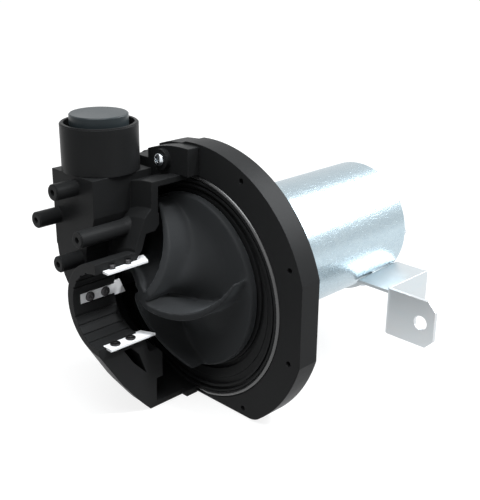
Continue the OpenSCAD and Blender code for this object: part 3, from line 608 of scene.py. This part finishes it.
# Underside of the head at height 0, the shank below it
def screwMaster(head):
    sides, throat = 36, 0.0002
    if head["form"] == "hexHead":
        return hexBolt(head, sides)
    neck = [(head["shank"] + throat, 0), (head["shank"], -throat)]
    blank = meshFrom(turnedShape(headProfile(head) + neck + threadProfile(head), sides), "screwBlank")
    if head["form"] == "socket":
        return carve(blank, [hexRecess(head)])
    return carve(blank, [recessBar(head, turn) for turn in (0, math.pi / 2)])


# Points that carry the direction in which a piece stands on them
def aimedPoints(places):
    mesh = bpy.data.meshes.new("points")
    mesh.from_pydata([tuple(point) for point, aim in places], [], [])
    aims = mesh.attributes.new("aim", "FLOAT_VECTOR", "POINT")
    aims.data.foreach_set("vector", [v for point, aim in places for v in aim])
    return mesh


def newTree(name, sockets):
    tree = bpy.data.node_groups.new(name, "GeometryNodeTree")
    for kind, label, value in sockets:
        socket = tree.interface.new_socket(name=label, in_out="INPUT", socket_type="NodeSocket" + kind)
        if value is not None:
            socket.default_value = value
    tree.interface.new_socket(name="Geometry", in_out="OUTPUT", socket_type="NodeSocketGeometry")
    return tree, place(tree, "NodeGroupInput").outputs, place(tree, "NodeGroupOutput").inputs


def runTree(tree, mesh, **values):
    draft = looseObject("treeDraft", mesh)
    build = draft.modifiers.new("build", "NODES")
    build.node_group = tree
    for item in tree.interface.items_tree:
        if item.in_out == "INPUT" and item.name in values:
            build[item.identifier] = values[item.name]
    draft.update_tag()
    return bakeModifiers(draft)


# A round wire along a path
def wireAlong(tree, path, thickness, sides):
    circle = place(tree, "GeometryNodeCurvePrimitiveCircle", mode="RADIUS")
    circle.inputs["Resolution"].default_value = sides
    feed(tree, circle.inputs["Radius"], thickness)
    wire = place(tree, "GeometryNodeCurveToMesh")
    feed(tree, wire.inputs["Curve"], path)
    feed(tree, wire.inputs["Profile Curve"], circle.outputs[0])
    wire.inputs["Fill Caps"].default_value = True
    return wire.outputs[0]


# The end of every tree: real meshes with their material
def endTree(tree, instances, finish, out):
    real = place(tree, "GeometryNodeRealizeInstances")
    feed(tree, real.inputs[0], instances)
    paint = place(tree, "GeometryNodeSetMaterial")
    feed(tree, paint.inputs["Geometry"], real.outputs[0])
    feed(tree, paint.inputs["Material"], finish)
    feed(tree, out["Geometry"], paint.outputs[0])


# The socket for a plain number among several of one name
def valueSocket(sockets, name):
    return [s for s in sockets if s.name == name and s.type == "VALUE"][0]


# Stands an instance on every point with its Z along the point's aim
def standOnPoints(tree, points, instance, turn, seed):
    aim = place(tree, "GeometryNodeInputNamedAttribute", data_type="FLOAT_VECTOR")
    aim.inputs["Name"].default_value = "aim"
    align = place(tree, "FunctionNodeAlignRotationToVector", axis="Z")
    feed(tree, align.inputs["Vector"], aim.outputs["Attribute"])
    stand = place(tree, "GeometryNodeInstanceOnPoints")
    feed(tree, stand.inputs["Points"], points)
    feed(tree, stand.inputs["Instance"], instance)
    feed(tree, stand.inputs["Rotation"], align.outputs[0])
    chance = place(tree, "FunctionNodeRandomValue", data_type="FLOAT")
    feed(tree, valueSocket(chance.inputs, "Max"), turn)
    feed(tree, chance.inputs["Seed"], seed)
    around = place(tree, "ShaderNodeCombineXYZ")
    feed(tree, around.inputs["Z"], valueSocket(chance.outputs, "Value"))
    rotate = place(tree, "GeometryNodeRotateInstances")
    feed(tree, rotate.inputs["Instances"], stand.outputs[0])
    feed(tree, rotate.inputs["Rotation"], around.outputs[0])
    rotate.inputs["Local Space"].default_value = True
    return rotate.outputs[0]


def makeScrewTree():
    tree, given, out = newTree("screwsOnPoints", [
        ("Geometry", "Geometry", None), ("Object", "Master", None), ("Float", "Turn", 6.28),
        ("Int", "Seed", 3), ("Material", "Finish", None)])
    master = place(tree, "GeometryNodeObjectInfo")
    feed(tree, master.inputs["Object"], given["Master"])
    screws = standOnPoints(tree, given["Geometry"], master.outputs["Geometry"], given["Turn"], given["Seed"])
    endTree(tree, screws, given["Finish"], out)
    return tree


def makeCoilTree():
    tree, given, out = newTree("coilsOnPoints", [
        ("Geometry", "Geometry", None), ("Float", "Radius", 0.003), ("Float", "Wire", 0.0003),
        ("Float", "Length", 0.007), ("Float", "Turns", 6.0), ("Material", "Finish", None)])
    spiral = place(tree, "GeometryNodeCurveSpiral")
    spiral.inputs["Resolution"].default_value = 28
    for label, source in (("Rotations", "Turns"), ("Start Radius", "Radius"), ("End Radius", "Radius"),
                          ("Height", "Length")):
        feed(tree, spiral.inputs[label], given[source])
    wire = wireAlong(tree, spiral.outputs[0], given["Wire"], sides=10)
    coils = standOnPoints(tree, given["Geometry"], wire, turn=0.0, seed=0)
    endTree(tree, coils, given["Finish"], out)
    return tree


# Copies of one wound coil, set evenly round the shaft
def makeWindingTree():
    tree, given, out = newTree("coilsRoundShaft", [
        ("Geometry", "Geometry", None), ("Int", "Count", 12), ("Float", "Wire", 0.0004),
        ("Material", "Finish", None)])
    path = place(tree, "GeometryNodeMeshToCurve")
    feed(tree, path.inputs[0], given["Geometry"])
    wire = wireAlong(tree, path.outputs[0], given["Wire"], sides=5)
    line = place(tree, "GeometryNodeMeshLine", mode="OFFSET")
    feed(tree, line.inputs["Count"], given["Count"])
    line.inputs["Offset"].default_value = (0, 0, 0)
    step = sums(tree, "DIVIDE", math.tau, given["Count"])
    angle = sums(tree, "MULTIPLY", place(tree, "GeometryNodeInputIndex").outputs[0], step)
    around = place(tree, "ShaderNodeCombineXYZ")
    feed(tree, around.inputs["Y"], angle)
    stand = place(tree, "GeometryNodeInstanceOnPoints")
    feed(tree, stand.inputs["Points"], line.outputs[0])
    feed(tree, stand.inputs["Instance"], wire)
    feed(tree, stand.inputs["Rotation"], around.outputs[0])
    endTree(tree, stand.outputs[0], given["Finish"], out)
    return tree


screwTree, coilTree, windingTree = makeScrewTree(), makeCoilTree(), makeWindingTree()
forward, backward = Vector((0, -1, 0)), Vector((0, 1, 0))


def middle(box):
    return (box[0] + box[1]) / 2


# Heads at the front of the solids that lie along the shaft
def alongShaft(node, high):
    centres = [(middle(box), box[0].y + high) for box in looseParts(node)]
    return [(Vector((centre.x, seat, centre.z)), forward) for centre, seat in centres]


def makeScrews(name, node, head, places, finish, turn=6.28, seed=3):
    master = looseObject("screwMaster", screwMaster(head))
    mesh = runTree(screwTree, aimedPoints(places), Master=master, Turn=turn, Seed=seed,
                   Finish=finishes[finish])
    bpy.data.objects.remove(master)
    return showPiece(name, mesh, node)


panHead = {"form": "dome", "radius": 0.0034, "high": 0.0022, "shank": 0.0020, "long": 0.0180,
           "pitch": 0.0012, "key": 0.0017, "sunk": 0.0013}
panPlaces = alongShaft("housing_screws", panHead["high"])
makeScrews("panScrews", "housing_screws", panHead, panPlaces, "zinc_steel")

capHead = {"form": "socket", "radius": 0.0050, "high": 0.0034, "shank": 0.00248, "long": 0.0120,
           "pitch": 0.0010, "key": 0.0016, "sunk": 0.0018}
capPlaces = alongShaft("motor_screws", capHead["high"])
makeScrews("capScrews", "motor_screws", capHead, capPlaces, "zinc_steel", seed=5)

bladeHead = {"form": "cross", "radius": 0.0027, "high": 0.0009, "shank": 0.00185, "long": 0.0036,
             "pitch": 0.0007, "key": 0.0013, "sunk": 0.0006, "boreZ": -0.0008}
bladePlaces = []
for box in looseParts("blade_screws"):
    centre = middle(box)
    outward = Vector((centre.x, 0, centre.z - bladeHead["boreZ"])).normalized()
    half = (bladeHead["high"] + bladeHead["long"]) / 2
    bladePlaces.append((centre - outward * (half - bladeHead["high"]), -outward))
makeScrews("bladeScrews", "blade_screws", bladeHead, bladePlaces, "dark_steel", seed=7)

saddleHead = {"form": "dome", "radius": 0.0036, "high": 0.0020, "shank": 0.0020, "long": 0.0035,
              "pitch": 0.0009, "key": 0.0018, "sunk": 0.0012, "seat": 0.04072}
saddlePlaces = []
for box in looseParts("bracket_screws"):
    centre = middle(box)
    outward = Vector((centre.x, 0, centre.z)).normalized()
    saddlePlaces.append((outward * saddleHead["seat"] + Vector((0, centre.y, 0)), outward))
makeScrews("saddleScrews", "bracket_screws", saddleHead, saddlePlaces, "zinc_steel", seed=9)

boltHead = {"form": "hexHead", "radius": 0.00418, "high": 0.0033, "shank": 0.0022, "long": 0.1319,
            "pitch": 0.0016}
boltPlaces = [(Vector((middle(box).x, box[1].y - boltHead["high"], middle(box).z)), backward)
              for box in looseParts("through_bolts")]
makeScrews("longBolts", "through_bolts", boltHead, boltPlaces, "zinc_steel", turn=0.0)
print("screws made")


def makeCoils(name, node, coil, places, finish):
    starts = [(point + aim * coil["wire"], aim) for point, aim in places]
    mesh = runTree(coilTree, aimedPoints(starts), Radius=coil["radius"], Wire=coil["wire"],
                   Length=coil["long"] - 2 * coil["wire"], Turns=coil["turns"], Finish=finishes[finish])
    return showPiece(name, mesh, node)


sealCoil = {"radius": 0.00785, "wire": 0.00062, "long": 0.00517, "turns": 2.75}
low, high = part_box("seal_spring")
makeCoils("sealCoil", "seal_spring", sealCoil, [(Vector((0, low[1], 0)), backward)], "zinc_steel")

brushCoil = {"radius": 0.0025, "wire": 0.00028, "long": 0.0070, "turns": 7.0}
brushPlaces = []
for box in looseParts("brush_springs"):
    side = 1 if middle(box).z > 0 else -1
    inner = min(abs(box[0].z), abs(box[1].z)) * side
    brushPlaces.append((Vector((middle(box).x, middle(box).y, inner)), Vector((0, 0, side))))
makeCoils("brushCoils", "brush_springs", brushCoil, brushPlaces, "zinc_steel")


# One coil as closed wires: along a slot, over the end, back five slots on
def makeWinding():
    coil = {"slots": 12, "reach": 5, "outer": 0.0258, "inner": 0.0212, "wire": 0.00043,
            "rows": 4, "columns": 3, "gap": 0.00092, "steps": 22, "straight": (0.2, 0.4, 0.6, 0.8),
            "clear": 0.001, "dip": 0.42, "dipBend": 1.2,
            "crown": 0.0067, "crownBend": 0.6, "crownStart": 0.45}
    low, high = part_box("armature_core")
    front, back = low[1] - coil["clear"], high[1] + coil["clear"]
    swing = math.tau * coil["reach"] / coil["slots"]
    turn = np.linspace(0, 1, coil["steps"])
    arch = np.sin(math.pi * turn)
    reach = coil["outer"] + (coil["inner"] - coil["outer"]) * turn
    reach = reach * (1 - coil["dip"] * arch ** coil["dipBend"])
    growth = coil["crownStart"] + (1 - coil["crownStart"]) * turn
    crown = coil["crown"] * arch ** coil["crownBend"] * growth
    # Columns are the distance from the shaft, the place along it and the angle
    rear = np.stack([reach, back + crown, swing * turn], 1)
    fore = np.stack([reach, front - crown, swing * turn], 1)[::-1]
    run = np.array(coil["straight"])[:, None] * [0, back - front, 0]
    up = np.array([coil["outer"], front, 0]) + run
    down = np.array([coil["inner"], back, swing]) - run
    loop = np.concatenate([up, rear, down, fore])
    out = np.stack([np.sin(loop[:, 2]), loop[:, 0] * 0, np.cos(loop[:, 2])], 1)
    centre = loop[:, :1] * out + loop[:, 1:2] * [0, 1, 0]
    ahead = np.roll(centre, -1, 0) - np.roll(centre, 1, 0)
    ahead /= np.linalg.norm(ahead, axis=1, keepdims=True)
    out -= (out * ahead).sum(1, keepdims=True) * ahead
    out /= np.linalg.norm(out, axis=1, keepdims=True)
    side = np.cross(ahead, out)
    verts, edges = [], []
    for row in range(coil["rows"]):
        for column in range(coil["columns"]):
            rise = (row - (coil["rows"] - 1) / 2) * coil["gap"]
            aside = (column - (coil["columns"] - 1) / 2) * coil["gap"]
            wirePath = centre + out * rise + side * aside
            first, count = len(verts), len(wirePath)
            verts += [tuple(map(float, p)) for p in wirePath]
            edges += [(first + i, first + (i + 1) % count) for i in range(count)]
    mesh = bpy.data.meshes.new("coilPaths")
    mesh.from_pydata(verts, edges, [])
    mesh = runTree(windingTree, mesh, Count=coil["slots"], Wire=coil["wire"],
                   Finish=finishes["winding_copper"])
    mesh.shade_smooth()
    return showPiece("armatureWires", mesh, "armature_winding")


winding = makeWinding()
print("springs and winding made,", len(winding.data.polygons), "faces in the winding")


# The seal swells a little out of its groove where the chamber is cut open
def makeSealRing():
    ring = {"radius": 0.0625, "cord": 0.00126, "proud": 0.0009, "from": 0.0068, "to": 0.0125,
            "centre": (0.0016, -0.0043), "steps": 240, "sides": 16}
    low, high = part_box("housing_seal")
    deep = (low[1] + high[1]) / 2
    shape = bmesh.new()
    loops = []
    for i in range(ring["steps"]):
        angle = math.tau * i / ring["steps"]
        x = ring["centre"][0] + ring["radius"] * math.sin(angle)
        z = ring["centre"][1] + ring["radius"] * math.cos(angle)
        # 0 where the seal lies in its groove, 1 where it is free, with a smooth rise between
        free = min(max((x - ring["from"]) / (ring["to"] - ring["from"]), 0), 1)
        y = deep - ring["proud"] * free * free * (3 - 2 * free)
        turns = [math.tau * k / ring["sides"] for k in range(ring["sides"])]
        loops.append([shape.verts.new((x + ring["cord"] * math.cos(b) * math.sin(angle),
                                       y - ring["cord"] * math.sin(b),
                                       z + ring["cord"] * math.cos(b) * math.cos(angle))) for b in turns])
    for here, there in zip(loops, loops[1:] + loops[:1]):
        for k in range(ring["sides"]):
            m = (k + 1) % ring["sides"]
            shape.faces.new((here[k], here[m], there[m], there[k]))
    bmesh.ops.recalc_face_normals(shape, faces=shape.faces)
    return showPiece("sealRing", meshFrom(shape, "sealRing", 180), "housing_seal")


makeSealRing()


# 1 where the backdrop is seen, straight or in a shiny piece, and 0 where it lights the part
def seenDirectly(tree):
    rays = place(tree, "ShaderNodeLightPath").outputs
    seen = sums(tree, "MAXIMUM", rays["Is Camera Ray"], rays["Is Glossy Ray"])
    return sums(tree, "MAXIMUM", seen, rays["Is Transmission Ray"])


def addFloor():
    sheet = {"size": 6.0, "drop": 0.0004, "colour": (0.25, 0.25, 0.25), "rough": 0.9,
             "lift": 0.84, "farLift": 0.97, "near": 0.16, "far": 0.70}
    low = cadBox[0][2] - sheet["drop"]
    half = sheet["size"] / 2
    mesh = bpy.data.meshes.new("floor")
    mesh.from_pydata([(x * half, y * half, low) for x, y in ((-1, -1), (1, -1), (1, 1), (-1, 1))], [],
                     [(0, 1, 2, 3)])
    floor = looseObject("floor", mesh)
    material, tree, shader = newMaterial("floorWhite")
    feed(tree, shader.inputs["Base Color"], sheet["colour"])
    shader.inputs["Roughness"].default_value = sheet["rough"]
    shader.inputs["Specular IOR Level"].default_value = 0.0
    shader.inputs["Emission Color"].default_value = (1, 1, 1, 1)
    away = place(tree, "ShaderNodeVectorMath", operation="LENGTH")
    feed(tree, away.inputs[0], objectPoint(tree))
    lift = spread(tree, away.outputs["Value"], sheet["lift"], sheet["farLift"],
                  fromLow=sheet["near"], fromHigh=sheet["far"])
    feed(tree, shader.inputs["Emission Strength"], sums(tree, "MULTIPLY", seenDirectly(tree), lift))
    mesh.materials.append(material)


def addCamera():
    view = {
        "place": (0.3372, -0.2388, 0.1888),
        "down": 20.69, "round": 44.86, "roll": 0.50,
        "focal": 889.7, "centre": (238.06, 248.55), "image": (480, 500), "sensor": 36.0,
    }
    down, turn, roll = (math.radians(view[k]) for k in ("down", "round", "roll"))
    side = Vector((math.cos(turn), math.sin(turn), 0))
    ahead = Vector((-math.sin(turn) * math.cos(down), math.cos(turn) * math.cos(down), -math.sin(down)))
    above = side.cross(ahead)
    right = side * math.cos(roll) + above * math.sin(roll)
    top = above * math.cos(roll) - side * math.sin(roll)
    data = bpy.data.cameras.new("camera")
    camera = looseObject("camera", data)
    camera.matrix_world = Matrix((
        (right.x, top.x, -ahead.x, view["place"][0]),
        (right.y, top.y, -ahead.y, view["place"][1]),
        (right.z, top.z, -ahead.z, view["place"][2]),
        (0, 0, 0, 1)))
    wide, high = view["image"]
    data.sensor_width = view["sensor"]
    data.lens = view["focal"] * view["sensor"] / high
    data.shift_x = -(view["centre"][0] - wide / 2) / high
    data.shift_y = (view["centre"][1] - high / 2) / high
    bpy.context.scene.camera = camera


def addWorld():
    air = {"onObject": 0.20, "background": 1.0}
    world = bpy.data.worlds.new("studio")
    world.use_nodes = True
    tree = world.node_tree
    base = tree.nodes["Background"]
    white = place(tree, "ShaderNodeBackground")
    for sky, strength in ((base, air["onObject"]), (white, air["background"])):
        sky.inputs["Color"].default_value = (1, 1, 1, 1)
        sky.inputs["Strength"].default_value = strength
    mix = place(tree, "ShaderNodeMixShader")
    feed(tree, mix.inputs[0], seenDirectly(tree))
    feed(tree, mix.inputs[1], base.outputs[0])
    feed(tree, mix.inputs[2], white.outputs[0])
    feed(tree, tree.nodes["World Output"].inputs["Surface"], mix.outputs[0])
    bpy.context.scene.world = world


def addLamp(name, lamp):
    data = bpy.data.lights.new(name, "SPOT" if "cone" in lamp else "AREA")
    if "cone" in lamp:
        data.spot_size, data.spot_blend = math.radians(lamp["cone"]), 1.0
        data.shadow_soft_size = lamp["size"]
    else:
        data.shape = "RECTANGLE"
        data.size, data.size_y = lamp["size"]
    data.energy = lamp["power"]
    data.color = lamp["colour"]
    light = looseObject(name, data)
    light.location = Vector(lamp["place"])
    aim = Vector(lamp["towards"]) - light.location
    light.rotation_euler = aim.to_track_quat("-Z", "Y").to_euler()
    light.visible_camera = False


lamps = {
    "backLamp": {"place": (0.27, 0.72, 0.56), "towards": (0.0, 0.10, 0.0), "size": (0.70, 0.50),
                 "power": 9.5, "colour": (0.95, 0.98, 1.0)},
    "topLamp": {"place": (0.15, -0.14, 0.78), "towards": (0.0, 0.05, 0.0), "size": (0.60, 0.60),
                "power": 7.2, "colour": (0.96, 0.985, 1.0)},
    "frontLamp": {"place": (0.38, -0.62, 0.30), "towards": (0.0, 0.03, 0.0), "size": (0.45, 0.45),
                  "power": 0.6, "colour": (1.0, 1.0, 1.0)},
    "vaneLamp": {"place": (0.45, 0.20, 0.60), "towards": (0.03, 0.045, 0.012), "size": 0.06,
                 "cone": 10.0, "power": 33.0, "colour": (0.97, 0.985, 1.0)},
}
addFloor()
addCamera()
addWorld()
for name, lamp in lamps.items():
    addLamp(name, lamp)
bpy.context.scene.view_settings.view_transform = "Standard"
print("floor, camera and lights placed")
